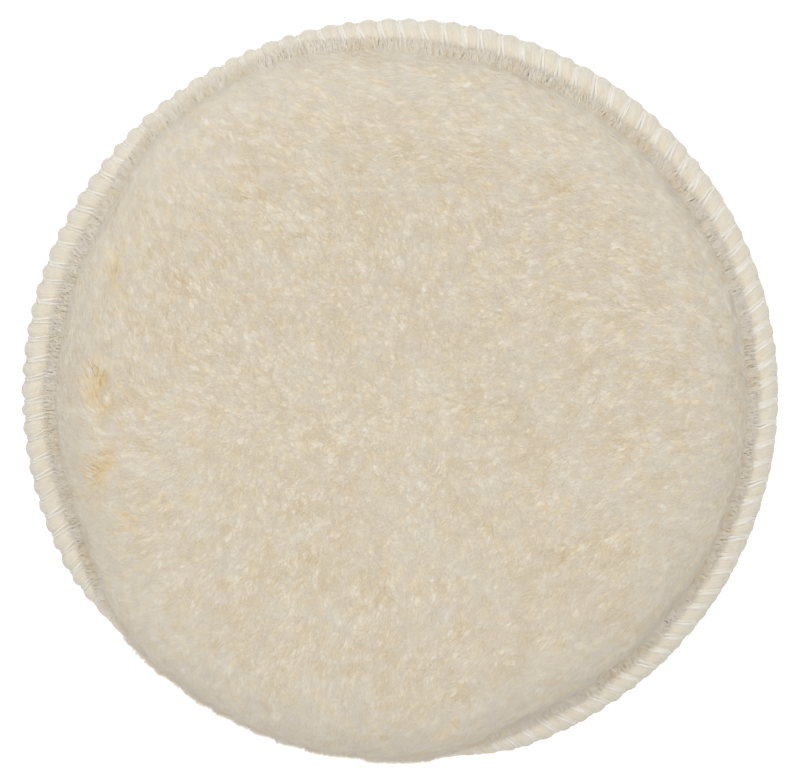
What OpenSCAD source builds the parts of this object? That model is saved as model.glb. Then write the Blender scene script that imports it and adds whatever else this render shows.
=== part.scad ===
// A round wool polishing pad with a loop-cloth back and an overlocked, scalloped hem.
// Millimetres. The pad lies on its loop cloth at z = 0, with the wool upwards and its centre on the z axis.

/* [Pad] */
// Diameter over the crests of the hem's scallops
pad_d = 125; // [75:1:200]
// Height of the combed wool above the ground cloth
pile_h = 11; // [6:0.5:20]
// Radius that rounds the wool's upper edge
pile_round = 6; // [3:0.5:6]

/* [Layers] */
// Thickness of the brushed loop cloth
loop_t = 1.6; // [1:0.1:2.4]
// Thickness of the foam between the two cloths
foam_t = 3; // [2:0.1:5]
// Thickness of the latex that locks the wool's roots
latex_t = 0.3; // [0.2:0.05:0.6]
// Thickness of the ground cloth that the wool grows from
ground_t = 0.7; // [0.4:0.05:1.2]
// Share of their thickness that the layers keep where they are stitched
pinch = 0.62; // [0.5:0.01:0.7]

/* [Hem] */
// Width of the hem from the needle line to the scallops' crests
hem_w = 5.8; // [4.8:0.1:8]
// Thickness of the wool that is rolled over the raw edge
roll_t = 1.4; // [1:0.1:2]
// How far the scallops' crests stand out past the threads in the notches between them
scallop_h = 0.8; // [0.4:0.05:1]
// Thickness of the rolled wool outside the layers' raw edge
edge_wool_t = 1; // [0.8:0.1:1.5]
// Thickness of the rolled wool at the needle line, where it is sewn flattest
foot_t = 0.4; // [0.2:0.1:0.8]
// Distance from one stitch to the next along the edge
stitch_pitch = 3.4; // [2.8:0.1:4.5]

/* [Threads] */
// Diameter of the sewing threads
thread_d = 0.45; // [0.3:0.05:0.5]
// How far ahead of its notch a looper thread's leading leg ends at the needle line, in stitches
lean = 0.75; // [0.5:0.05:1.2]
// How far apart the two legs from one notch end at the needle line, in stitches
splay = 0.4; // [0.3:0.05:0.7]

/* [Hidden] */
round_steps = 180;
// Room left between a thread and what it lies on, and between the wool and the needle thread.
thread_clear = 0.06;
pile_clear = 0.2;
// Width of the slope over which the layers thin out towards the needle line.
slope_w = 3;
// The stitching squeezes the layers towards this share of their height.
squeeze_share = 0.46;
// The rolled wool's rounding: its top bevel, in and down, its bottom bevel, in and up, and its flat wall.
top_bevel = [1.5, 0.6];
bottom_bevel = [0.7, 0.5];
wall_h = 1.6;
// How far the rolled wool's section stands past the crests, so that their outline cuts it cleanly.
cut_past = 0.15;
// The wool face's crown, and how far it swells out past its own foot.
crown_h = 0.4;
swell = 1.5;
// How high the needle thread rises between two needle holes.
thread_rise = 0.3;

// Heights, from the loop cloth up, where the layers lie at their full thickness.
foam_z = loop_t;
latex_z = foam_z + foam_t;
ground_z = latex_z + latex_t;
stack_t = ground_z + ground_t;

// Radii, from the crests inwards.
crest_r = pad_d / 2;
notch_r = crest_r - scallop_h;
wall_r = notch_r - thread_d / 2;
lift = thread_d / 2 + thread_clear;
slot_r = wall_r - lift;
raw_edge_r = slot_r - edge_wool_t;
needle_r = crest_r - hem_w;
flat_r = needle_r - slope_w;
inner_r = needle_r + lift;
stitches = 4 * round(PI * crest_r / stitch_pitch / 2);
stitch_angle = 360 / stitches;

// Half the room that a looper thread's two legs take where they meet in a notch, across and in stitches.
leg_side = 0.6 * thread_d;
leg_gap = leg_side / stitch_pitch;

// Heights where the stitching pinches the layers and the wool rolls over them.
squeeze_z = squeeze_share * stack_t;
function pinched(z) = squeeze_z + (z - squeeze_z) * pinch;
margin_bottom = pinched(0);
margin_top = pinched(stack_t);
crown_z = margin_top + roll_t;
foot_z = margin_top + foot_t;
mid_z = (crown_z + margin_bottom) / 2;
crown_r = notch_r - top_bevel[0];
shoulder_z = crown_z - top_bevel[1];
wall_top = mid_z + wall_h / 2;
wall_bottom = mid_z - wall_h / 2;

// The ground cloth's height on the slope.
function slope_z(r) = stack_t + (margin_top - stack_t) * (r - flat_r) / slope_w;

// A disc of one layer between two full-thickness heights, pinched outside the needle line.
module layer(low, high) {
    rotate_extrude($fn = round_steps)
        polygon([
            [0, low], [flat_r, low], [needle_r, pinched(low)], [raw_edge_r, pinched(low)],
            [raw_edge_r, pinched(high)], [needle_r, pinched(high)], [flat_r, high], [0, high]
        ]);
}

module loop_backing() {
    color("wheat") layer(0, loop_t);
}

module foam_interlayer() {
    color("oldlace") layer(foam_z, latex_z);
}

module latex_coat() {
    color("khaki") layer(latex_z, ground_z);
}

module ground_cloth() {
    color("tan") layer(ground_z, stack_t);
}

// The wool stands inside the needle thread and swells over the hem's inner side.
module wool_pile() {
    foot_r = needle_r - thread_d - thread_clear - pile_clear;
    swell_r = foot_r + swell;
    top_z = stack_t + pile_h;
    shoulder = [swell_r - pile_round, top_z - crown_h - pile_round];
    color("cornsilk") rotate_extrude($fn = round_steps)
        polygon(concat(
            [[0, stack_t], [flat_r, stack_t], [foot_r, slope_z(foot_r)]],
            [[foot_r, crown_z + thread_d], [swell_r, shoulder[1]]],
            [for (a = [10:10:90]) shoulder + pile_round * [cos(a), sin(a)]],
            [[0, top_z]]
        ));
}

// One round bulge stands between each two notches, and the threads have a slot in each notch.
module scallop_outline() {
    half_gap = PI * notch_r / stitches;
    bulge_r = (half_gap * half_gap + scallop_h * scallop_h) / (2 * scallop_h);
    slot_w = 2 * (leg_side + lift);
    difference() {
        union() {
            circle(crest_r - bulge_r, $fn = round_steps);
            for (i = [0:stitches - 1])
                rotate((i + 0.5) * stitch_angle) translate([crest_r - bulge_r, 0]) circle(bulge_r, $fn = 32);
        }
        for (i = [0:stitches - 1])
            rotate(i * stitch_angle) translate([slot_r, -slot_w / 2]) square([crest_r - slot_r, slot_w]);
    }
}

// The rolled wool: a bevelled ring whose rim takes the scallops' outline.
module hem_roll() {
    outer_r = crest_r + cut_past;
    color("antiquewhite") intersection() {
        rotate_extrude($fn = round_steps)
            polygon([
                [needle_r, margin_top], [needle_r, foot_z], [crown_r, crown_z], [notch_r, shoulder_z],
                [outer_r, wall_top], [outer_r, wall_bottom], [notch_r, margin_bottom + bottom_bevel[1]],
                [notch_r - bottom_bevel[0], margin_bottom], [raw_edge_r, margin_bottom],
                [raw_edge_r, margin_top]
            ]);
        linear_extrude(crown_z + 1) scallop_outline();
    }
}

// A stop on a thread's way: [radius, stitches round, height, tilt of the surface it lies on].
function place(stop) =
    let (turn = -stop[1] * stitch_angle)
    [stop[0] * cos(turn), stop[0] * sin(turn), stop[2]];
function outwards(stop) =
    let (turn = -stop[1] * stitch_angle)
    [cos(stop[3]) * cos(turn), cos(stop[3]) * sin(turn), sin(stop[3])];
function unit(v) = v / norm(v);

// A closed thread of three-sided section through stops that begin again at the first.
module thread(stops) {
    count = len(stops);
    sides = 3;
    rings = [for (i = [0:count - 1])
        let (
            here = stops[i],
            along = unit(place(stops[(i + 1) % count]) - place(stops[(i + count - 1) % count])),
            across = unit(cross(along, outwards(here))),
            up = cross(across, along)
        )
        for (k = [0:sides - 1])
            let (a = 90 + k * 360 / sides)
            place(here) + thread_d / 2 * (cos(a) * up + sin(a) * across)];
    faces = [for (i = [0:count - 1], k = [0:sides - 1])
        let (next_i = (i + 1) % count, next_k = (k + 1) % sides)
        for (half = [0, 1])
            half == 0
                ? [i * sides + k, next_i * sides + next_k, i * sides + next_k]
                : [i * sides + k, next_i * sides + k, next_i * sides + next_k]];
    polyhedron(points = rings, faces = faces);
}

// A looper thread's legs, each [turn at the notch, turn at the needle line]: it runs in along the leading leg,
// over the needle hole, and out along the trailing leg to the next notch.
leading = [leg_gap, lean];
trailing = [1 - leg_gap, 1 + lean - splay];
hole_turn = (leading[1] + trailing[1]) / 2;
// A leg's inner end stands this much higher, to clear the sloping wool.
leg_rise = 0.1;

// The turn at which a leg crosses a radius.
function leg_turn(leg, r) = leg[0] + (leg[1] - leg[0]) * (wall_r - r) / (wall_r - inner_r);

// The needle thread lies in a ring of short stitches, down at each needle hole.
module needle_thread() {
    line_r = needle_r - lift;
    low = margin_top + lift;
    color("ivory") thread([for (i = [0:stitches - 1], rise = [0, 1])
        [line_r, i + hole_turn + rise / 2, low + rise * thread_rise, 90]]);
}

// The upper looper thread runs from the edge to the needle line and back once a stitch.
module upper_looper_thread() {
    inner_z = foot_z + lift + leg_rise;
    over_z = crown_z + lift;
    corner_z = over_z - top_bevel[1] * (wall_r - crown_r) / top_bevel[0];
    color("snow") thread([for (i = [0:stitches - 1])
        for (stop = [
            [wall_r, leading[0], wall_top, 0],
            [wall_r, leading[0], corner_z, 45],
            [crown_r, leg_turn(leading, crown_r), over_z, 90],
            [inner_r, leading[1], inner_z, 90],
            [inner_r, trailing[1], inner_z, 90],
            [crown_r, leg_turn(trailing, crown_r), over_z, 90],
            [wall_r, trailing[0], corner_z, 45],
            [wall_r, trailing[0], wall_top, 0]
        ]) [stop[0], stop[1] + i, stop[2], stop[3]]]);
}

// The lower looper thread does the same on the back and comes up the edge to meet the upper one.
module lower_looper_thread() {
    under_z = margin_bottom - lift;
    meet_z = wall_top - thread_d - 2 * thread_clear;
    color("snow") thread([for (i = [0:stitches - 1])
        for (stop = [
            [wall_r, leading[0], meet_z, 0],
            [wall_r, leading[0], under_z, -45],
            [inner_r, leading[1], under_z, -90],
            [inner_r, trailing[1], under_z, -90],
            [wall_r, trailing[0], under_z, -45],
            [wall_r, trailing[0], meet_z, 0]
        ]) [stop[0], stop[1] + i, stop[2], stop[3]]]);
}

loop_backing();
foam_interlayer();
latex_coat();
ground_cloth();
wool_pile();
hem_roll();
needle_thread();
upper_looper_thread();
lower_looper_thread();
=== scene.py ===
"""A round wool polishing pad: a combed pile over a rolled, overlocked hem and a loop-cloth back."""
from math import cos, pi, radians, sin

import bmesh
import bpy
import numpy as np
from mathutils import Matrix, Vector, noise
from mathutils.bvhtree import BVHTree


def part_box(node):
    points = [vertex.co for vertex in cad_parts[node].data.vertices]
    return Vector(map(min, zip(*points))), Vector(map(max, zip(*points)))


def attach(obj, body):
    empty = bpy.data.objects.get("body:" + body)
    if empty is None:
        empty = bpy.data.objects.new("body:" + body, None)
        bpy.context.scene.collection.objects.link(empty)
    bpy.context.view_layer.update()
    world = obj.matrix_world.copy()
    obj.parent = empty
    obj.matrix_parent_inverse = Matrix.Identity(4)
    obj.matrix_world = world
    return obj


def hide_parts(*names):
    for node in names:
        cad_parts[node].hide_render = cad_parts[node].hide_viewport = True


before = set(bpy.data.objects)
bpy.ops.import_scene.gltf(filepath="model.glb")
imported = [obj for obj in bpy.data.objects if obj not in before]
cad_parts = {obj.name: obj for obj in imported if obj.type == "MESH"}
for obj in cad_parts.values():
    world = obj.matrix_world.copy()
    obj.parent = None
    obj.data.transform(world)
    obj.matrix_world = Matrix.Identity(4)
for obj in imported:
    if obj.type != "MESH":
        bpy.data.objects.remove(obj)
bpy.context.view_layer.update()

MM = 0.001

# Sizes in millimetres. These repeat the design's own values, which no node's box gives.
STITCHES = 116
HEM_W = 5.8
LEAN = 0.75
SPLAY = 0.4
LEG_GAP = 0.08

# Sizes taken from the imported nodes, in millimetres.
CREST_R = (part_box("hem_roll")[1].x + 0.02 * MM) / MM
HEM_LOW, HEM_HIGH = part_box("hem_roll")[0].z / MM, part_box("hem_roll")[1].z / MM
RAW_EDGE_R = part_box("ground_cloth")[1].x / MM
CLOTH_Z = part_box("ground_cloth")[1].z / MM
NEEDLE_R = CREST_R - HEM_W

random = np.random.default_rng(11)


# --- Shorthand for materials ------------------------------------------------------------------------

class Wire:
    """One output in a material's nodes; arithmetic on it adds Math nodes."""

    def __init__(self, finish, socket):
        self.finish = finish
        self.socket = socket

    def math(self, operation, *values):
        return self.finish.add("ShaderNodeMath", {"operation": operation}, dict(enumerate(values)))

    def __add__(self, other):
        return self.math("ADD", self, other)

    def __sub__(self, other):
        return self.math("SUBTRACT", self, other)

    def __mul__(self, other):
        return self.math("MULTIPLY", self, other)

    def __rmul__(self, other):
        return self.math("MULTIPLY", other, self)


class Finish:
    """A material: its nodes, its shader and the few ways in which they are joined."""

    def __init__(self, name, roughness=0.9, **constants):
        self.material = bpy.data.materials.new(name)
        self.material.use_nodes = True
        self.tree = self.material.node_tree
        self.shader = self.tree.nodes["Principled BSDF"]
        self.set("Roughness", roughness)
        for socket, value in constants.items():
            self.set(socket.replace("_", " "), value)

    def set(self, socket, value):
        """Puts a number or colour on one of the shader's sockets, or joins a wire to it."""
        self.put(self.shader.inputs[socket], value)

    def put(self, target, value):
        if isinstance(value, Wire):
            self.tree.links.new(value.socket, target)
        else:
            target.default_value = value

    def add(self, kind, settings, inputs, output=0):
        """Adds a node of a kind, sets it up, fills its inputs and gives one of its outputs."""
        node = self.tree.nodes.new(kind)
        for name, value in settings.items():
            setattr(node, name, value)
        for name, value in inputs.items():
            self.put(node.inputs[name], value)
        return Wire(self, node.outputs[output])

    def place(self):
        return self.add("ShaderNodeTexCoord", {}, {}, "Object")

    def chart(self):
        """The piece's own flat map, as two numbers."""
        flat = self.add("ShaderNodeUVMap", {"uv_map": "OFBake"}, {})
        return [self.add("ShaderNodeSeparateXYZ", {}, {0: flat}, axis) for axis in "XY"]

    def painted(self, name):
        """A number that is stored on the piece's corners."""
        return self.add("ShaderNodeAttribute", {"attribute_name": name}, {}, "Fac")

    def axes(self, vector):
        return [self.add("ShaderNodeSeparateXYZ", {}, {0: vector}, axis) for axis in "XYZ"]

    def joined(self, x, y, z):
        return self.add("ShaderNodeCombineXYZ", {}, {0: x, 1: y, 2: z})

    def noise(self, vector, scale, detail=2.0, roughness=0.5):
        inputs = {"Vector": vector, "Scale": scale, "Detail": detail, "Roughness": roughness}
        return self.add("ShaderNodeTexNoise", {}, inputs)

    def ramp(self, value, low, high):
        """Runs smoothly from 0 at a low value to 1 at a high one."""
        inputs = {"Value": value, "From Min": low, "From Max": high}
        return self.add("ShaderNodeMapRange", {"interpolation_type": "SMOOTHSTEP"}, inputs)

    def stops(self, value, places):
        """A colour that runs through the given ones, each at its place from 0 to 1."""
        wire = self.add("ShaderNodeValToRGB", {}, {"Fac": value}, "Color")
        ramp = wire.socket.node.color_ramp
        for number, (place, tone) in enumerate(places):
            stop = ramp.elements[number] if number < 2 else ramp.elements.new(place)
            stop.position, stop.color = place, tone
        return wire

    def mix(self, share, first, second):
        inputs = {"Factor": share, 6: first, 7: second}
        return self.add("ShaderNodeMix", {"data_type": "RGBA"}, inputs, "Result")

    def bump(self, height, depth, strength=1.0):
        inputs = {"Height": height, "Distance": depth * MM, "Strength": strength}
        self.set("Normal", self.add("ShaderNodeBump", {}, inputs))


def colour(red, green, blue):
    """A colour given as it is seen, from 0 to 255, made linear for a shader."""
    return (*[(share / 255) ** 2.2 for share in (red, green, blue)], 1.0)


# --- Shorthand for shapes ---------------------------------------------------------------------------

def smooth_step(low, high, value):
    share = np.clip((value - low) / (high - low), 0, 1)
    return share * share * (3 - 2 * share)


def drift(points, size, shift=0.0):
    """Smooth noise from about -1 to 1 at each point, with features of the given size."""
    move = Vector((shift, 1.7 * shift, -0.6 * shift))
    return np.array([noise.noise(Vector(point) / size + move) for point in points])


def new_piece(name, mesh, finish):
    piece = bpy.data.objects.new(name, mesh)
    bpy.context.scene.collection.objects.link(piece)
    mesh.materials.clear()
    mesh.materials.append(finish.material)
    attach(piece, "root")
    return piece


def rolled_grid(columns, rows, shape, column_tile, chart_rows=1):
    """A grid rolled into a closed ring. shape takes column and row shares and gives places in millimetres.

    Its flat map repeats every column_tile columns, stacked in chart_rows rows.
    """
    sheet = bmesh.new()
    bmesh.ops.create_grid(sheet, x_segments=columns, y_segments=rows, size=0.5)
    flat = np.array([(vert.co.x + 0.5, vert.co.y + 0.5) for vert in sheet.verts])
    chart = sheet.loops.layers.uv.new("OFBake")
    for face in sheet.faces:
        column = int(round(min((vert.co.x + 0.5) * columns for vert in face.verts)))
        tile = column // column_tile
        for loop in face.loops:
            u = (loop.vert.co.x + 0.5) * columns / column_tile - tile
            v = (loop.vert.co.y + 0.5 + tile % chart_rows) / chart_rows
            loop[chart].uv = (u, v)
    for vert, place in zip(sheet.verts, shape(flat[:, 0], flat[:, 1])):
        vert.co = Vector(place) * MM
    bmesh.ops.remove_doubles(sheet, verts=sheet.verts, dist=0.001 * MM)
    bmesh.ops.recalc_face_normals(sheet, faces=sheet.faces)
    mesh = bpy.data.meshes.new("rolled")
    sheet.to_mesh(mesh)
    sheet.free()
    mesh.shade_smooth()
    return mesh


# --- The hem: the pile's pressed margin, rolled over the edge and drawn into scallops -----------------

# How far the roll's round edge reaches in from the crests, and how deep its inner side lies under its top.
ROLL_ROUND = 2.9
HEM_SLOPE = 1.0
ROLL_R = CREST_R - ROLL_ROUND
# The looper threads' legs run between these radii.
LEG_OUT_R = CREST_R - 1.03
LEG_IN_R = NEEDLE_R + 0.29
# The stitches were sewn by eye: each sits, slants, parts and pulls a little differently. The slant is
# greatest, in stitches, at the lower right.
stitch_turn = np.radians(-360 / STITCHES * np.arange(STITCHES))
slant_rise = 0.45 * np.clip(np.cos(stitch_turn - radians(318)), 0, 1) ** 3
stitch_jitter = random.normal(0, 0.06, STITCHES)
stitch_depth = random.uniform(0.65, 1.0, STITCHES) + 0.25 * np.cos(stitch_turn - radians(170))
stitch_lean = 0.42 + slant_rise + random.normal(0, 0.07, STITCHES)
stitch_splay = SPLAY * random.uniform(0.55, 1.15, STITCHES)


# How far the hem is pressed down and, as a share of its overhang, in where the wool leans over it.
TUCK_DROP = 0.35
TUCK_IN = 0.62


def tuck(turn):
    """How far the hem is tucked in under the leaning wool, from 0 to 1, at an angle in degrees."""
    return smooth_step(206, 222, turn % 360) * (1 - smooth_step(276, 291, turn % 360))


def hem_section(way):
    """Radius, height and outward normal along the hem.

    The way is 0 at the needle line, 1 to 2 round the edge, and 3 back under the needle line.
    """
    way = np.asarray(way, float)
    ramp = np.clip(way, 0, 1)
    ease = ramp * (2 - ramp)
    angle = (0.5 - np.clip(way - 1, 0, 1)) * pi
    under = np.clip(way - 2, 0, 1)
    middle, half = (HEM_HIGH + HEM_LOW) / 2, (HEM_HIGH - HEM_LOW) / 2
    foot = HEM_HIGH - HEM_SLOPE
    radius = np.where(way < 1, NEEDLE_R + (ROLL_R - NEEDLE_R) * ramp, ROLL_R + ROLL_ROUND * np.cos(angle))
    height = np.where(way < 1, foot + (HEM_HIGH - foot) * ease, middle + half * np.sin(angle))
    radius = np.where(way > 2, ROLL_R + (NEEDLE_R - ROLL_R) * under, radius)
    out = np.where(way < 1, -0.35 * (1 - ramp), np.cos(angle) / ROLL_ROUND)
    up = np.where(way < 1, 1.0, np.sin(angle) / half)
    size = np.hypot(out, up)
    return radius, height, out / size, up / size


def notch_share(stitch):
    """A column's share of its stitch, and how far it has come across the bulge to the next notch's legs."""
    share = stitch - np.floor(stitch + LEG_GAP)
    return share, np.clip((share - LEG_GAP) / (1 - 2 * LEG_GAP), 0, 1)


def notch_value(values, stitch):
    """A value that each notch has, blended across the bulge to the next notch's."""
    number = np.floor(stitch + LEG_GAP).astype(int) % STITCHES
    _, across = notch_share(stitch)
    return values[number] * (1 - across) + values[(number + 1) % STITCHES] * across


def hem_columns(stitch, radius):
    """Where a column of the hem runs at a radius, in stitches: the legs slant inwards and part on the way."""
    share, across = notch_share(stitch)
    reach = np.clip((LEG_OUT_R - radius) / (LEG_OUT_R - LEG_IN_R), 0, 1)
    fan = np.where(share < LEG_GAP, share / LEG_GAP, 1 - 2 * across)
    spread = fan * (notch_value(stitch_splay, stitch) / 2 - LEG_GAP) * reach ** 2
    return stitch + notch_value(stitch_jitter, stitch) + notch_value(stitch_lean, stitch) * reach + spread


def hem_place(stitch, way, above, side=0.0, pillow=0.0):
    """A place on the hem in millimetres: above is the height over the groove, side a step along the edge."""
    radius, height, out, up = hem_section(way)
    turn = -hem_columns(stitch, radius) * 2 * pi / STITCHES
    # The grooves are shallow on top and deepest round the edge.
    top_depth = 0.05 + 0.1 * np.clip(way, 0, 1) ** 2
    edge_depth = 0.15 + 0.6 * np.clip(out, 0, 1) ** 1.5
    depth = np.where(way < 1, top_depth, edge_depth)
    groove = np.where(way > 2, 0.0, depth) * notch_value(stitch_depth, stitch)
    level = above - groove * (1 - pillow)
    radius = radius + out * level
    height = height + up * level
    press = tuck(np.degrees(turn))
    drawn_in = RAW_EDGE_R + (radius - RAW_EDGE_R) * (1 - TUCK_IN * press)
    radius = np.where(radius > RAW_EDGE_R, drawn_in, radius)
    height = height - TUCK_DROP * press * (way < 1.6)
    x = radius * np.cos(turn) - side * -np.sin(turn)
    y = radius * np.sin(turn) - side * np.cos(turn)
    return np.stack([x, y, height], axis=-1)


def hem_pillow(stitch, way):
    """How full the hem stands between the threads: 0 under a leg, 1 midway to the next notch."""
    share, across = notch_share(stitch)
    # The edge is round between two notches, and the top is flatter.
    round_way = 1.3
    flat = 1 - np.clip(way, 0, round_way) / round_way
    full = (1 - np.abs(2 * across - 1) ** (2.0 + 4 * flat)) ** 0.8
    return np.where(share < LEG_GAP, 0.5 * (1 - (share / LEG_GAP) ** 2), full)


def hem_shape(columns_share, rows_share):
    """The rolled hem's skin: over the top, round the edge, and back along the layers' raw edges."""
    stitch = stitch_column(columns_share * STITCHES)
    raw_way = 1.92
    outer_end = 0.86
    way = np.clip(rows_share / outer_end, 0, 1) * raw_way
    skin = hem_place(stitch, way, 0.0, pillow=hem_pillow(stitch, way))
    # Inside, two corners close the section: at the raw edge and at the needle line.
    inner_z = HEM_HIGH - 1.38
    turn = np.arctan2(skin[:, 1], skin[:, 0])
    corner_r = np.where(rows_share > 0.95, NEEDLE_R + 0.05, RAW_EDGE_R + 0.05)
    inner_height = np.full_like(turn, inner_z)
    corner = np.stack([corner_r * np.cos(turn), corner_r * np.sin(turn), inner_height], axis=-1)
    last = (rows_share > 0.999)[:, None]
    inner = (rows_share > outer_end + 0.01)[:, None]
    needle_way = np.zeros_like(way)
    start = hem_place(stitch, needle_way, 0.0, pillow=hem_pillow(stitch, needle_way))
    return np.where(last, start, np.where(inner, corner, skin))


def stitch_column(column):
    """Spreads the mesh's columns so that a third of them lie between a notch's two legs."""
    whole = np.floor(column + 1e-6)
    share = column - whole
    # The first and last sixths of a stitch's columns lie by its legs, and the rest on the bulge.
    side = 1 / 6
    wide = LEG_GAP + (share - side) * (1 - 2 * LEG_GAP) / (1 - 2 * side)
    near = share * LEG_GAP / side
    far = 1 - (1 - share) * LEG_GAP / side
    return whole + np.where(share < side, near, np.where(share > 1 - side, far, wide))


def hem_wool():
    """Pressed wool: fine hairs that run with the stitches, tan by the needle holes with painted shade mixed
    in there, and greyer round the edge, which is painted shade.
    """
    finish = Finish("hem_wool", roughness=0.92, Sheen_Weight=0.15, Sheen_Roughness=0.5)
    across, along = finish.chart()
    hairs = finish.noise(finish.joined(across * 420, along * 9, 0.0), 1.0, 3.0, 0.6)
    cloud = finish.noise(finish.place(), 420.0, 2.0)
    # The tan by the needle line is partly the wool's own and partly painted shade.
    tan = finish.ramp(finish.painted("needle_tan_and_shade") + 0.5 * (cloud - 0.5) + 0.5 * (hairs - 0.5), 0.3, 0.9)
    wool = finish.mix(finish.ramp(hairs, 0.3, 0.7), colour(216, 207, 188), colour(227, 219, 202))
    tanned_and_shaded = finish.mix(tan, wool, colour(212, 188, 144))
    # Greyer round the outer edge: painted shade of the roll's side, which turns away from the light.
    finish.set("Base Color", finish.mix(0.6 * finish.painted("rim"), tanned_and_shaded, colour(212, 208, 198)))
    finish.bump(hairs + 0.5 * cloud, 0.08, 0.7)
    return finish


# The hem's mesh: columns a stitch, rows across, and the strips its flat map is cut into.
HEM_COLUMNS = 12
HEM_ROWS = 22
HEM_STRIPS = 4


def make_hem():
    strip = STITCHES // HEM_STRIPS * HEM_COLUMNS
    mesh = rolled_grid(STITCHES * HEM_COLUMNS, HEM_ROWS, hem_shape, column_tile=strip, chart_rows=HEM_STRIPS)
    places = np.array([vert.co for vert in mesh.vertices]) / MM
    radius = np.hypot(places[:, 0], places[:, 1])
    top = smooth_step(3.0, 4.5, places[:, 2])
    # Tan towards the needle holes, most between the two legs of a stitch: partly the wool pulled thin there
    # and partly painted shade where the pile meets the hem.
    stitch = np.degrees(-np.arctan2(places[:, 1], places[:, 0])) * STITCHES / 360
    lean = stitch_lean[np.round(stitch - LEAN + SPLAY / 2).astype(int) % STITCHES]
    hole = 0.5 + 0.5 * np.cos((stitch - lean) * 2 * pi)
    reach = smooth_step(NEEDLE_R + 3.4, NEEDLE_R + 0.2, radius)
    paint = {
        "needle_tan_and_shade": reach * top * (0.45 + 0.55 * hole),
        # Painted shade round the outer edge.
        "rim": smooth_step(CREST_R - 2.2, CREST_R - 0.4, radius),
    }
    for name, values in paint.items():
        layer = mesh.attributes.new(name, "FLOAT", "POINT")
        layer.data.foreach_set("value", values)
    piece = new_piece("rolled_hem", mesh, hem_wool())
    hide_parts("hem_roll")
    return piece


# --- The threads --------------------------------------------------------------------------------------

STOPS_A_STITCH = 20
THREAD_SIDES = 5
EDGE_YARN = 0.27
NEEDLE_YARN = 0.24


def thread_cotton():
    """Soft yarn, bright where it is bundled at the edge and drawn thin and dull at the needle line."""
    finish = Finish("sewing_thread", roughness=0.6, Sheen_Weight=0.2, Sheen_Roughness=0.4)
    along, around = finish.chart()
    twist = (along * 5.0 + around * 2.0) * (2 * pi)
    ply = twist.math("SINE", twist) * 0.5 + 0.5
    fibre = finish.noise(finish.joined(along * 14, around * 40, 0.0), 1.0, 2.0)
    edge = (along * (2 * pi)).math("COSINE", along * (2 * pi)) * 0.5 + 0.5
    # The plies' light and dark bands are painted shading of the twist.
    ply_shade = finish.ramp(0.5 * ply + 0.5 * fibre, 0.15, 0.75)
    bright = finish.mix(ply_shade, colour(222, 216, 202), colour(236, 232, 222))
    dull = finish.mix(fibre, colour(224, 212, 188), colour(234, 227, 211))
    finish.set("Base Color", finish.mix(finish.ramp(edge, 0.05, 0.75), dull, bright))
    finish.bump(ply, 0.02, 0.5)
    return finish


def looper_stops(over):
    """One stitch of a looper thread: its columns, in stitches, and its ways along the hem's section."""
    share = np.linspace(0, 1, STOPS_A_STITCH, endpoint=False)
    edge, needle = (1.42, 0.03) if over else (1.58, 2.97)
    # Out of the notch along the leading leg, over the needle hole, and back along the trailing leg.
    legs = [0, LEG_GAP, LEG_GAP, 1 - LEG_GAP, 1 - LEG_GAP, 1]
    column = np.interp(share, [0, 0.05, 0.46, 0.6, 0.95, 1], legs)
    way = np.interp(share, [0, 0.05, 0.45, 0.6, 0.95, 1], [edge, edge, needle, needle, edge, edge])
    return column, way


def thread_ring(name, routes, width, finish):
    """A closed thread of several strands; routes give each strand's places for all the stitches."""
    meshes = []
    for route in routes:
        count = len(route)

        def shape(columns_share, rows_share, route=route, count=count):
            index = np.round(columns_share * count).astype(int) % count
            along = np.roll(route, -1, axis=0) - np.roll(route, 1, axis=0)
            along /= np.linalg.norm(along, axis=1, keepdims=True)
            across = np.cross(along, [0.0, 0.0, 1.0])
            across += 1e-6
            across /= np.linalg.norm(across, axis=1, keepdims=True)
            lift = np.cross(across, along)
            angle = -rows_share[:, None] * 2 * pi
            ring = np.cos(angle) * across[index] + np.sin(angle) * lift[index]
            return route[index] + ring * width / 2

        meshes.append(rolled_grid(count, THREAD_SIDES, shape, column_tile=STOPS_A_STITCH))
    return joined_piece(name, meshes, finish)


def joined_piece(name, meshes, finish):
    """One piece made of several meshes."""
    whole = bmesh.new()
    for mesh in meshes:
        whole.from_mesh(mesh)
        bpy.data.meshes.remove(mesh)
    mesh = bpy.data.meshes.new(name)
    whole.to_mesh(mesh)
    whole.free()
    mesh.shade_smooth()
    return new_piece(name, mesh, finish)


def looper_routes(over):
    """Three strands that lie side by side in the notch and close up towards the needle line."""
    column, way = looper_stops(over)
    stitches = np.repeat(np.arange(STITCHES), STOPS_A_STITCH)
    columns = stitches + np.tile(column, STITCHES)
    ways = np.tile(way, STITCHES)
    reach = np.abs(ways - 1.5) / 1.5
    bundle = 0.15 + 0.06 * np.cos(columns * 2 * pi / STITCHES)
    routes = []
    for strand in (-1, 0, 1):
        wander = 0.04 * np.sin(columns * 2.3 + 2.1 * strand)
        side = strand * bundle * (1 - 0.5 * reach) + wander
        above = 0.16 + 0.04 * (strand == 0) + 0.02 * reach
        routes.append(hem_place(columns, ways, above, side=side))
    return routes


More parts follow.
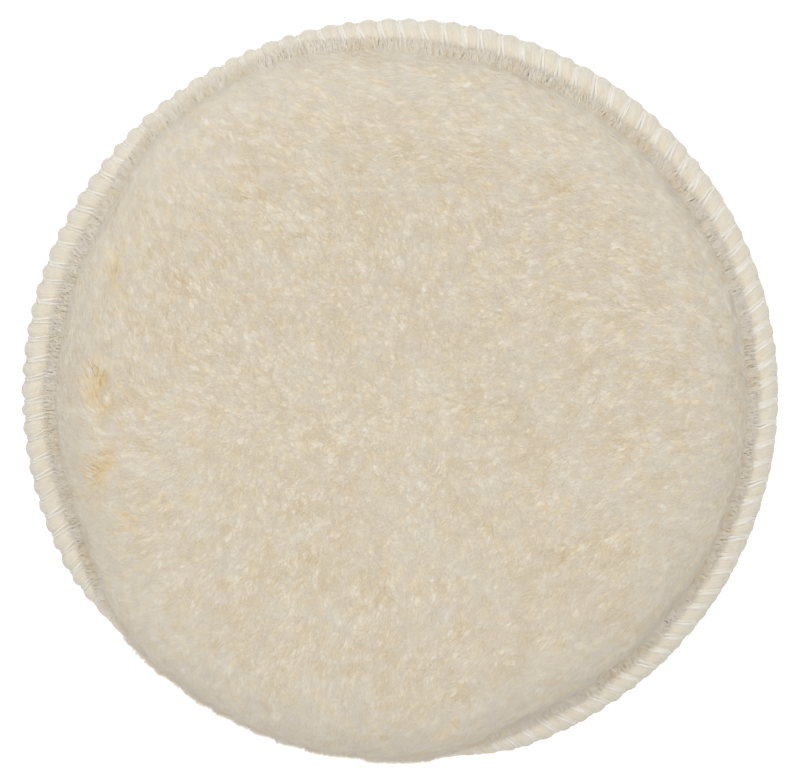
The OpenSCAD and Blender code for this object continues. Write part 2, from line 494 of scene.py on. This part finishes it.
def make_threads():
    finish = thread_cotton()
    upper = thread_ring("upper_edge_thread", looper_routes(True), EDGE_YARN, finish)
    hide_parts("upper_looper_thread")
    lower = thread_ring("lower_edge_thread", looper_routes(False), EDGE_YARN, finish)
    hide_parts("lower_looper_thread")
    # The needle thread: two plies, coiled round each other, that dip at each needle hole.
    stops = np.arange(STITCHES * STOPS_A_STITCH) / STOPS_A_STITCH
    turn = -stops * 2 * pi / STITCHES
    coils, coil_r = 3, 0.1
    routes = []
    for ply in (0, 1):
        coil = stops * 2 * pi * coils + ply * pi
        dip = np.cos((stops - LEAN - 0.25) * 2 * pi)
        radius = NEEDLE_R - 0.25 + coil_r * np.cos(coil)
        height = HEM_HIGH - HEM_SLOPE + 0.22 - 0.14 * dip + coil_r * np.sin(coil)
        routes.append(np.stack([radius * np.cos(turn), radius * np.sin(turn), height], axis=-1))
    needle = thread_ring("needle_seam_thread", routes, NEEDLE_YARN, finish)
    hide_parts("needle_thread")


# --- The wool -----------------------------------------------------------------------------------------

FLEECE_R = NEEDLE_R - 0.1

# How the pile was last brushed: a place on the face in shares of the pad's radius, and its way in degrees.
BRUSHED = [
    ((0.2, -0.65), 235), ((-0.2, -0.65), 250), ((-0.45, -0.5), 235), ((-0.6, -0.65), 222),
    ((0.55, -0.55), 222), ((0.65, -0.25), 205), ((0.75, 0.0), 185), ((0.65, 0.35), 168),
    ((0.4, 0.7), 170), ((0.05, 0.8), 178), ((-0.3, 0.65), 150), ((-0.6, 0.5), 118),
    ((0.0, 0.3), 105), ((-0.8, 0.15), 100), ((-0.8, -0.15), 150), ((-0.8, -0.4), 178),
    ((-0.5, -0.2), 248), ((0.0, -0.25), 265), ((0.35, 0.1), 200), ((-0.3, 0.1), 140),
]
# Partings, where the pile opens on its tan depth, with painted shade in the opening: a place in shares of the
# pad's radius, the line's angle, its length and width in millimetres, and how far it opens.
PARTINGS = [
    ((-0.785, 0.055), 80, 3.0, 1.3, 1.0), ((-0.77, -0.16), 70, 3.2, 1.3, 0.8),
    ((-0.735, 0.35), 95, 2.4, 1.0, 0.6), ((-0.70, -0.29), 150, 2.4, 0.9, 0.5),
    ((-0.76, -0.01), 60, 2.0, 0.9, 0.5), ((0.22, -0.3), 60, 1.8, 0.8, 0.35),
    ((0.1, -0.46), 20, 1.8, 0.8, 0.35), ((-0.1, -0.43), 55, 1.6, 0.8, 0.35),
    ((0.6, -0.1), 60, 1.8, 0.8, 0.35), ((0.43, -0.39), 40, 1.8, 0.8, 0.35),
    ((0.14, -0.84), 50, 2.0, 0.8, 0.35), ((-0.12, -0.69), 30, 1.8, 0.8, 0.35),
]


def overhang(turn):
    """How far the wool leans out over the hem, in millimetres, at an angle in degrees."""
    turn = turn % 360
    low = smooth_step(200, 226, turn) * (1 - smooth_step(272, 294, turn))
    upper_left = smooth_step(84, 110, turn) * (1 - smooth_step(128, 148, turn))
    left = smooth_step(150, 170, turn) * (1 - smooth_step(195, 215, turn))
    return 3.0 * low + 2.0 * upper_left - 0.6 * left


def fleece_profile():
    """The wool's half section in millimetres: under its foot, out over the hem, and in over its top.

    The stitches hold the outermost wool down, so it rises from the hem in a round shoulder.
    """
    shoulder = [
        (0.9, -0.9), (1.7, -0.35), (1.4, 0.4), (0.5, 1.6), (-0.9, 3.4), (-2.9, 5.3), (-5.6, 7.0), (-9.5, 8.3),
        (-15.0, 9.1), (-24.0, 9.6),
    ]
    return [
        (0, CLOTH_Z + 0.05), (FLEECE_R - 2.4, CLOTH_Z + 0.05), (FLEECE_R - 0.6, HEM_HIGH - 1.1),
        *[(FLEECE_R + out, HEM_HIGH + up) for out, up in shoulder], (0, HEM_HIGH + 10.0),
    ]


def fleece_mesh():
    """The wool's mass as a closed cake, spun from its section."""
    cake = bmesh.new()
    points = [cake.verts.new(Vector((r, 0, z)) * MM) for r, z in fleece_profile()]
    edges = [cake.edges.new(pair) for pair in zip(points, points[1:])]
    bmesh.ops.spin(
        cake, geom=points + edges, cent=(0, 0, 0), axis=(0, 0, 1), angle=2 * pi, steps=96, use_merge=True
    )
    bmesh.ops.remove_doubles(cake, verts=cake.verts, dist=0.01 * MM)
    bmesh.ops.recalc_face_normals(cake, faces=cake.faces)
    mesh = bpy.data.meshes.new("fleece")
    cake.to_mesh(mesh)
    cake.free()
    return mesh


def applied(piece, kind, **settings):
    """Adds a modifier, makes its result the piece's mesh and takes the modifier off."""
    modifier = piece.modifiers.new(kind.lower(), kind)
    for name, value in settings.items():
        setattr(modifier, name, value)
    bake_in(piece)


def bake_in(piece):
    """Makes a piece's shape, as its modifiers leave it, its mesh."""
    graph = bpy.context.evaluated_depsgraph_get()
    mesh = bpy.data.meshes.new_from_object(piece.evaluated_get(graph))
    old = piece.data
    piece.modifiers.clear()
    piece.data = mesh
    bpy.data.meshes.remove(old)


def puffed(piece):
    """Lets the cake puff up as a soft body does, but not where it is sewn down.

    No point moves by more than a cap.
    """
    before = np.array([vert.co for vert in piece.data.vertices])
    most = 0.9 * MM
    cap = most * smooth_step(HEM_HIGH - 0.5, HEM_HIGH + 2.5, before[:, 2:] / MM)
    cloth = piece.modifiers.new("puff", "CLOTH")
    cloth.settings.use_pressure = True
    cloth.settings.uniform_pressure_force = 4
    cloth.settings.effector_weights.gravity = 0
    scene = bpy.context.scene
    steps = 20
    for step in range(1, steps + 1):
        scene.frame_set(step)
    bake_in(piece)
    scene.frame_set(1)
    after = np.array([vert.co for vert in piece.data.vertices])
    move = after - before
    length = np.linalg.norm(move, axis=1, keepdims=True)
    after = before + move * np.minimum(1, cap / np.maximum(length, 1e-9))
    piece.data.vertices.foreach_set("co", after.ravel())


def parted(places):
    """How far the pile is opened at each place, 0 to 1, and the way it is pushed aside."""
    depth = np.zeros(len(places))
    push = np.zeros((len(places), 2))
    for (x, y), angle, length, width, strength in PARTINGS:
        line = np.array([cos(radians(angle)), sin(radians(angle))])
        off = places[:, :2] - np.array([x, y]) * CREST_R
        along = off @ line
        across = off @ np.array([-line[1], line[0]])
        across = across + 0.35 * np.sin(along * 1.1 + x * 9)
        here = np.exp(-((along / length) ** 2) - (across / width) ** 2)
        wide = np.exp(-((along / (length * 1.3)) ** 2) - (across / (width * 2.6)) ** 2)
        depth = np.maximum(depth, strength * here)
        push += (strength * wide * np.tanh(across / width))[:, None] * np.array([-line[1], line[0]])
    return depth, push


def make_fleece():
    piece = new_piece("fleece", fleece_mesh(), fleece_wool())
    applied(piece, "REMESH", mode="VOXEL", voxel_size=1.6 * MM)
    puffed(piece)
    applied(piece, "SUBSURF", levels=1, render_levels=1)
    mesh = piece.data
    places = np.array([vert.co for vert in mesh.vertices]) / MM
    normals = np.array([vert.normal for vert in mesh.vertices])
    turn = np.degrees(np.arctan2(places[:, 1], places[:, 0]))
    radius = np.hypot(places[:, 0], places[:, 1])
    above = smooth_step(HEM_HIGH - 1.1, HEM_HIGH + 0.8, places[:, 2])
    # The wool leans over the hem on one side, and its face is lumpy and opens at the partings.
    lean = overhang(turn) * above * smooth_step(0.55, 1.0, radius / FLEECE_R)
    places[:, :2] *= (1 + lean / np.maximum(radius, 1))[:, None]
    lumps = 0.18 * drift(places, 12.0) + 0.02 * drift(places, 4.2, 5.0)
    opened, _ = parted(places)
    face = smooth_step(HEM_HIGH + 0.8, HEM_HIGH + 3, places[:, 2])
    places += normals * ((lumps - 0.4 * opened) * face)[:, None]
    mesh.vertices.foreach_set("co", (places * MM).ravel())
    opening = mesh.attributes.new("opened", "FLOAT", "POINT")
    opening.data.foreach_set("value", opened)
    mesh.update()
    mesh.shade_smooth()
    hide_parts("wool_pile")
    return piece


def fleece_wool():
    """The pile's depth: matted, warm and lightly streaked."""
    finish = Finish("fleece_wool", roughness=0.95)
    place = finish.place()
    flecks = finish.noise(place, 520.0, 3.0, 0.6)
    hairs = finish.noise(place, 2600.0, 2.0, 0.6)
    # Warmer where the pile opens: partly its tan depth and partly painted shade in the opening.
    warm = finish.ramp(flecks + 0.6 * finish.painted("opened") + 0.25 * (hairs - 0.5), 0.3, 0.9)
    finish.set("Base Color", finish.mix(warm, colour(226, 220, 206), colour(219, 199, 157)))
    finish.bump(hairs + flecks, 0.05, 0.4)
    return finish


def hair_wool(name, shade_lift):
    """One wool hair: warm and darker at its root, which is painted shade of the pile's depth, cream at its
    tip. The flat map holds along and warmth.

    The second argument is how much lighter the wool is painted than the face, in steps of 255: painted light
    that lifts the shade where the pile meets the hem.
    """
    finish = Finish(name, roughness=0.75, Sheen_Weight=0.1, Sheen_Roughness=0.5)
    along, warmth = finish.chart()

    def tone(*shares):
        return colour(*(share + shade_lift for share in shares))

    tip = finish.stops(warmth, [
        (0.0, tone(230, 225, 216)), (0.35, tone(233, 227, 215)), (0.65, tone(233, 221, 196)),
        (1.0, tone(192, 163, 116)),
    ])
    # The root's darker colour is painted shade, where the hairs shade each other.
    root = finish.mix(warmth, tone(225, 219, 205), tone(207, 181, 132))
    finish.set("Base Color", finish.mix(finish.ramp(along, 0.1, 0.9), root, tip))
    return finish


# A hair's thickness over its width: packed wool lies flat.
FLATNESS = 0.22


def hair_template(rings):
    """A closed three-sided hair of length 1 and radius 1, drawn to a point at its tip."""
    hair = bmesh.new()
    bmesh.ops.create_circle(hair, cap_ends=True, segments=3, radius=1)
    bmesh.ops.reverse_faces(hair, faces=hair.faces)
    ring = hair.faces[:]
    for step in range(1, rings + 1):
        new = bmesh.ops.extrude_face_region(hair, geom=ring)["geom"]
        if step > 1:
            bmesh.ops.delete(hair, geom=ring, context="FACES_ONLY")
        ring = [item for item in new if isinstance(item, bmesh.types.BMFace)]
        verts = [item for item in new if isinstance(item, bmesh.types.BMVert)]
        bmesh.ops.translate(hair, verts=verts, vec=(0, 0, 1 / rings))
    bmesh.ops.collapse(hair, edges=ring[0].edges[:])
    bmesh.ops.triangulate(hair, faces=hair.faces)
    bmesh.ops.recalc_face_normals(hair, faces=hair.faces)
    hair.verts.index_update()
    verts = np.array([vert.co for vert in hair.verts])
    faces = np.array([[vert.index for vert in face.verts] for face in hair.faces])
    hair.free()
    return verts, faces


def hair_piece(name, finish, paths, normals, width, warmth):
    """One piece of many hairs. paths holds each hair's places in millimetres, root first."""
    count, rings = paths.shape[0], paths.shape[1] - 1
    verts, faces = hair_template(rings)
    level = np.round(verts[:, 2] * rings).astype(int)
    along = np.gradient(paths, axis=1)
    along /= np.linalg.norm(along, axis=2, keepdims=True)
    across = np.cross(along, normals) + 1e-5
    across /= np.linalg.norm(across, axis=2, keepdims=True)
    lift = np.cross(across, along) * FLATNESS
    # The hair's width at its root, its middle and its tip.
    taper = np.array([1.0, 0.8, 0.0])
    thick = width[:, None] / 2 * taper[level]
    corners = (
        paths[:, level]
        + across[:, level] * (thick * verts[:, 0])[..., None]
        + lift[:, level] * (thick * verts[:, 1])[..., None]
    )
    mesh = bpy.data.meshes.new(name)
    indices = faces[None] + (np.arange(count) * len(verts))[:, None, None]
    mesh.vertices.add(count * len(verts))
    mesh.vertices.foreach_set("co", (corners * MM).ravel())
    mesh.loops.add(count * len(faces) * 3)
    mesh.loops.foreach_set("vertex_index", indices.ravel())
    mesh.polygons.add(count * len(faces))
    mesh.polygons.foreach_set("loop_start", np.arange(count * len(faces)) * 3)
    mesh.polygons.foreach_set("use_smooth", np.zeros(count * len(faces), bool))
    # The flat map runs along the hair one way. The other way it is the warmth, with a little of the girth.
    girth = np.arctan2(verts[:, 1], verts[:, 0]) / (2 * pi) % 1.0
    corner_girth = girth[faces]
    behind = corner_girth < corner_girth.max(axis=1, keepdims=True) - 0.5
    corner_girth = np.where(behind, corner_girth + 1, corner_girth)
    u = np.broadcast_to(verts[faces][..., 2], (count, *faces.shape))
    v = 0.01 + 0.96 * warmth[:, None, None] + 0.015 * corner_girth[None]
    chart = mesh.uv_layers.new(name="OFBake")
    chart.data.foreach_set("uv", np.stack([u, v], axis=-1).astype(np.float32).ravel())
    mesh.update(calc_edges=True)
    return new_piece(name, mesh, finish)


def brushed_way(places):
    """The way the pile lies at each place, as a unit step in the plane."""
    share = places[:, :2] / CREST_R
    way = np.zeros((len(places), 2))
    for spot, angle in BRUSHED:
        near = np.exp(-((share - np.array(spot)) ** 2).sum(axis=1) / 0.045)
        way += near[:, None] * np.array([cos(radians(angle)), sin(radians(angle))])
    return way / np.maximum(np.linalg.norm(way, axis=1, keepdims=True), 1e-6)


def scattered(mesh, count, wanted):
    """Random places on a mesh, spread evenly over the area that is wanted."""
    mesh.calc_loop_triangles()
    corners = np.array([triangle.vertices for triangle in mesh.loop_triangles])
    points = np.array([vert.co for vert in mesh.vertices]) / MM
    a, b, c = points[corners[:, 0]], points[corners[:, 1]], points[corners[:, 2]]
    cross = np.cross(b - a, c - a)
    area = np.linalg.norm(cross, axis=1)
    normals = cross / np.maximum(area, 1e-12)[:, None]
    weight = area * wanted((a + b + c) / 3, normals)
    chosen = random.choice(len(corners), count, p=weight / weight.sum())
    s, t = random.random((2, count, 1))
    flip = s + t > 1
    s, t = np.where(flip, 1 - s, s), np.where(flip, 1 - t, t)
    return a[chosen] + s * (b - a)[chosen] + t * (c - a)[chosen]


def laid_paths(tree, roots, ways, lengths, heights):
    """Hair paths that follow a surface: each step goes on its way and keeps its height over the skin."""
    rings = heights.shape[1] - 1
    paths, normals = np.empty((2, len(roots), rings + 1, 3))
    for i, (root, way, length, height) in enumerate(zip(roots, ways, lengths, heights)):
        here = Vector(root)
        step = Vector(way) * (length / rings)
        size = step.length
        for ring in range(rings + 1):
            skin, normal, _, _ = tree.find_nearest(here)
            paths[i, ring] = skin + normal * height[ring]
            normals[i, ring] = normal
            step = (step - normal * step.dot(normal)).normalized() * size
            here = skin + step
    return paths, normals


def wool_warmth(places):
    """How warm the wool's tone is at each place, 0 to 1: mottled at every size, less at the greatest."""
    sizes = {0.6: 1.0, 1.2: 1.0, 2.4: 0.9, 4.8: 0.7, 10.0: 0.5}
    return 0.42 + 0.24 * sum(share * drift(places, size, 7.0 + size) for size, share in sizes.items())


def skin_tree(piece):
    """A piece's surface in millimetres, to find its nearest places."""
    skin = bmesh.new()
    skin.from_mesh(piece.data)
    bmesh.ops.scale(skin, vec=Vector((1, 1, 1)) / MM, verts=skin.verts)
    tree = BVHTree.FromBMesh(skin)
    skin.free()
    return tree


def make_pile(fleece):
    """The visible hairs, in pieces by sector."""
    count = 114000
    pieces = 8

    def wanted(middle, normal):
        """Everywhere above the hem, except on the wool's underside."""
        return (normal[:, 2] > -0.3) * smooth_step(HEM_HIGH - 0.6, HEM_HIGH + 0.6, middle[:, 2])

    roots = scattered(fleece.data, count, wanted)
    tree = skin_tree(fleece)
    far = np.linalg.norm(roots[:, :2], axis=1)
    # The hairs follow the brushing, more loosely in the middle, and are pushed aside at the partings.
    way = brushed_way(roots)
    opened, push = parted(roots)
    bend = np.radians(24) * drift(roots, 6.5, 2.0) + np.radians(20) * drift(roots, 2.2, 4.0)
    middle = 1 - smooth_step(0.2, 0.75, far / FLEECE_R)
    bend += random.normal(0, radians(26), count) * (1 + 1.2 * middle)
    turned = np.stack([
        way[:, 0] * np.cos(bend) - way[:, 1] * np.sin(bend),
        way[:, 0] * np.sin(bend) + way[:, 1] * np.cos(bend),
    ], axis=-1)
    turned += 0.9 * push
    side = far > FLEECE_R - 2
    ways = np.concatenate([turned, np.where(side, -0.25, 0.0)[:, None]], axis=1)

    # The wool is tan and flecked in the partings, partly its tan depth and partly painted shade in the
    # opening, and cooler at the rim.
    # The cooler, greyer tone at the rim is painted shade of the pile's side, which turns down from the light.
    rim = smooth_step(0.78, 0.97, far / FLEECE_R)
    spots = 0.6 + 0.7 * drift(roots, 0.8, 1.0)
    warmth = wool_warmth(roots) + 1.1 * opened * spots - 0.2 * rim
    warmth = np.clip(warmth + random.normal(0, 0.08, count), 0, 1)
    lengths = random.uniform(1.7, 3.6, count) * (1 - 0.3 * opened)
    locks = 0.5 + 0.5 * drift(roots, 1.6, 3.0)
    rise = random.uniform(0.08, 0.34, count) * (0.9 + 0.2 * locks) * (1 - 0.5 * opened)
    heights = np.stack([np.full(count, -0.1), 0.75 * rise, rise], axis=-1)
    paths, normals = laid_paths(tree, roots, ways, lengths, heights)
    width = random.uniform(0.065, 0.11, count)

    finish = hair_wool("wool_hair", 0)
    order = np.argsort(np.arctan2(roots[:, 1], roots[:, 0]))
    for number, some in enumerate(np.array_split(order, pieces), start=1):
        name = f"wool_hairs_{number}"
        hair_piece(name, finish, paths[some], normals[some], width[some], warmth[some])
    # Lighter hairs for the border and the hem: painted light against the shade where the pile meets the hem.
    shade_lift = hair_wool("shade_lifted_wool_hair", 8)
    make_border(shade_lift, tree)
    make_hem_fuzz(shade_lift)


def make_border(finish, tree):
    """The pile's lowest hairs, which flow down over the needle line and hide where the hem begins."""
    count = 19000
    turn = random.uniform(0, 2 * pi, count)
    rise = random.uniform(0.0, 1.0, count)
    outwards = np.stack([np.cos(turn), np.sin(turn), np.zeros(count)], axis=-1)
    reach = random.uniform(1.2, 2.8, count) + 0.5 * drift(outwards * 40, 3.0)
    reach *= 1 - 0.6 * tuck(np.degrees(turn))
    swing = random.normal(0, 0.35, count)
    aside = np.stack([-np.sin(turn), np.cos(turn), np.zeros(count)], axis=-1)
    way = outwards + swing[:, None] * aside
    paths = np.empty((count, 3, 3))
    for i in range(count):
        guess = outwards[i] * (FLEECE_R + overhang(np.degrees(turn[i])) + 1.0)
        skin, _, _, _ = tree.find_nearest(Vector((guess[0], guess[1], HEM_HIGH - 0.2 + 3.4 * rise[i])))
        paths[i, 0] = skin
    drop = (0.4 + 0.9 * rise) * reach
    for step, (share, fall) in enumerate(((0.5, 0.32), (1.0, 1.0)), start=1):
        paths[:, step] = paths[:, 0] + way * (reach * share)[:, None]
        paths[:, step, 2] -= drop * fall
    out = np.linalg.norm(paths[:, 1:, :2], axis=2)
    lie = hem_section((out - NEEDLE_R) / (ROLL_R - NEEDLE_R))[1] + random.uniform(0.0, 0.3, (count, 1))
    lie -= TUCK_DROP * tuck(np.degrees(turn))[:, None]
    paths[:, 1:, 2] = np.maximum(paths[:, 1:, 2], lie)
    paths[:, 0] -= outwards * 0.15
    normals = np.broadcast_to(outwards[:, None] * 0.5 + [0.0, 0.0, 0.9], paths.shape)
    # A little cooler and lighter than the face: painted light against the shade under the pile's edge.
    warmth = np.clip(wool_warmth(paths[:, 0]) - 0.1 + random.normal(0, 0.12, count), 0, 1)
    width = random.uniform(0.07, 0.12, count)
    hair_piece("border_hairs", finish, paths, normals, width, warmth)


def make_hem_fuzz(finish):
    """Short hairs of the rolled wool, which run with its stitches and stray over the threads."""
    count = 14000
    for number, (first, last) in enumerate(((0, STITCHES / 2), (STITCHES / 2, STITCHES)), start=1):
        stitch = random.uniform(first, last, count)
        way = random.uniform(0.0, 1.0, count) ** 1.2 * 1.9
        onward = random.normal(0, 0.3, count)
        aside = random.normal(0, 0.1, count)
        above = random.uniform(0.0, 0.14, count) + 0.25 * random.random(count) ** 3
        steps, normals = [], []
        for share, height in ((0.0, -0.1), (0.5, 0.8), (1.0, 1.0)):
            column, there = stitch + aside * share, np.clip(way + onward * share, 0.0, 1.95)
            steps.append(hem_place(column, there, above * height, pillow=hem_pillow(column, there)))
            radius, _, out, up = hem_section(there)
            turn = -hem_columns(column, radius) * 2 * pi / STITCHES
            normals.append(np.stack([out * np.cos(turn), out * np.sin(turn), up], axis=-1))
        paths, normals = np.stack(steps, axis=1), np.stack(normals, axis=1)
        inner = smooth_step(0.9, 0.1, way)
        # Warmer towards the needle line, partly the wool's tan and partly painted shade, as on the hem
        # beneath.
        warmth = wool_warmth(paths[:, 0]) - 0.2 + 0.5 * inner + random.normal(0, 0.15, count)
        warmth = np.clip(warmth, 0, 1)
        width = random.uniform(0.05, 0.085, count)
        hair_piece(f"hem_hairs_{number}", finish, paths, normals, width, warmth)


# --- Finishes for the layers --------------------------------------------------------------------------

def loop_cloth():
    finish = Finish("loop_cloth", roughness=0.95, Sheen_Weight=0.3, Sheen_Roughness=0.6)
    place = finish.place()
    loops = finish.add("ShaderNodeTexVoronoi", {"feature": "F1"}, {"Vector": place, "Scale": 1500.0})
    cloud = finish.noise(place, 260.0, 3.0)
    # Darker between the loops, in their depth, which is painted shade, and mottled by a cloud.
    depth = finish.ramp(loops + 0.6 * cloud, 0.2, 1.0)
    finish.set("Base Color", finish.mix(depth, colour(226, 221, 208), colour(198, 191, 174)))
    finish.bump(cloud - loops, 0.25, 0.9)
    return finish


def foam():
    finish = Finish("foam", roughness=0.95)
    inputs = {"Vector": finish.place(), "Scale": 2200.0}
    cells = finish.add("ShaderNodeTexVoronoi", {"feature": "DISTANCE_TO_EDGE"}, inputs)
    wall = finish.ramp(cells, 0.0, 0.25)
    finish.set("Base Color", finish.mix(wall, colour(190, 180, 150), colour(232, 226, 206)))
    finish.bump(cells, 0.15, 0.8)
    return finish


def latex():
    finish = Finish("latex", roughness=0.4)
    runs = finish.noise(finish.place(), 300.0, 3.0)
    finish.set("Base Color", finish.mix(runs, colour(206, 186, 138), colour(226, 212, 172)))
    finish.bump(runs, 0.1, 0.5)
    return finish


def ground_weave():
    finish = Finish("ground_weave", roughness=0.9)
    x, y, _ = finish.axes(finish.place())
    pitch = 9000
    weave = x.math("SINE", x * pitch) * y.math("SINE", y * pitch)
    # Darker where the weave lies low: painted shade.
    raised = finish.ramp(weave, -0.8, 0.8)
    finish.set("Base Color", finish.mix(raised, colour(176, 156, 118), colour(206, 188, 150)))
    finish.bump(weave, 0.1, 0.7)
    return finish


def dress_layers():
    finishes = {
        "loop_backing": loop_cloth(),
        "foam_interlayer": foam(),
        "latex_coat": latex(),
        "ground_cloth": ground_weave(),
    }
    for node, finish in finishes.items():
        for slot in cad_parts[node].material_slots:
            slot.material = finish.material


# --- Floor, light and camera --------------------------------------------------------------------------

def make_stage():
    floor = bmesh.new()
    bmesh.ops.create_grid(floor, x_segments=1, y_segments=1, size=3)
    mesh = bpy.data.meshes.new("floor")
    floor.to_mesh(mesh)
    floor.free()
    finish = Finish("floor_white", roughness=0.9)
    finish.set("Base Color", (0.92, 0.92, 0.92, 1))
    finish.set("Emission Color", (1, 1, 1, 1))
    finish.set("Emission Strength", 0.42)
    mesh.materials.append(finish.material)
    ground = bpy.data.objects.new("floor", mesh)
    bpy.context.scene.collection.objects.link(ground)


def make_light():
    world = bpy.data.worlds.new("soft_room")
    bpy.context.scene.world = world
    world.use_nodes = True
    air = world.node_tree.nodes["Background"]
    air.inputs["Color"].default_value = (1, 1, 1, 1)
    air.inputs["Strength"].default_value = 0.36
    # Each lamp's place and size in metres, and its power in watts.
    lamps = {"top_softbox": ((0, 0.14, 1.0), 1.2, 9.4), "side_softbox": ((-0.3, 0.9, 0.7), 0.9, 1.5)}
    for name, (place, size, power) in lamps.items():
        lamp = bpy.data.lights.new(name, "AREA")
        lamp.size = size
        lamp.energy = power
        light = bpy.data.objects.new(name, lamp)
        light.location = place
        light.rotation_euler = (-Vector(place)).to_track_quat("-Z", "Y").to_euler()
        bpy.context.scene.collection.objects.link(light)


def make_camera():
    distance, tilt = 0.55, radians(8)
    width = 131.4 * MM
    lens = bpy.data.cameras.new("camera")
    lens.sensor_width = 36
    lens.lens = lens.sensor_width * distance / width
    camera = bpy.data.objects.new("camera", lens)
    middle = Vector((0, 1.5, 6)) * MM
    camera.location = middle + Vector((0, sin(tilt), cos(tilt))) * distance
    camera.rotation_euler = (-tilt, 0, 0)
    bpy.context.scene.collection.objects.link(camera)
    bpy.context.scene.camera = camera


bpy.context.scene.view_settings.view_transform = "Standard"
make_camera()
make_light()
make_stage()
dress_layers()
make_hem()
make_threads()
make_pile(make_fleece())
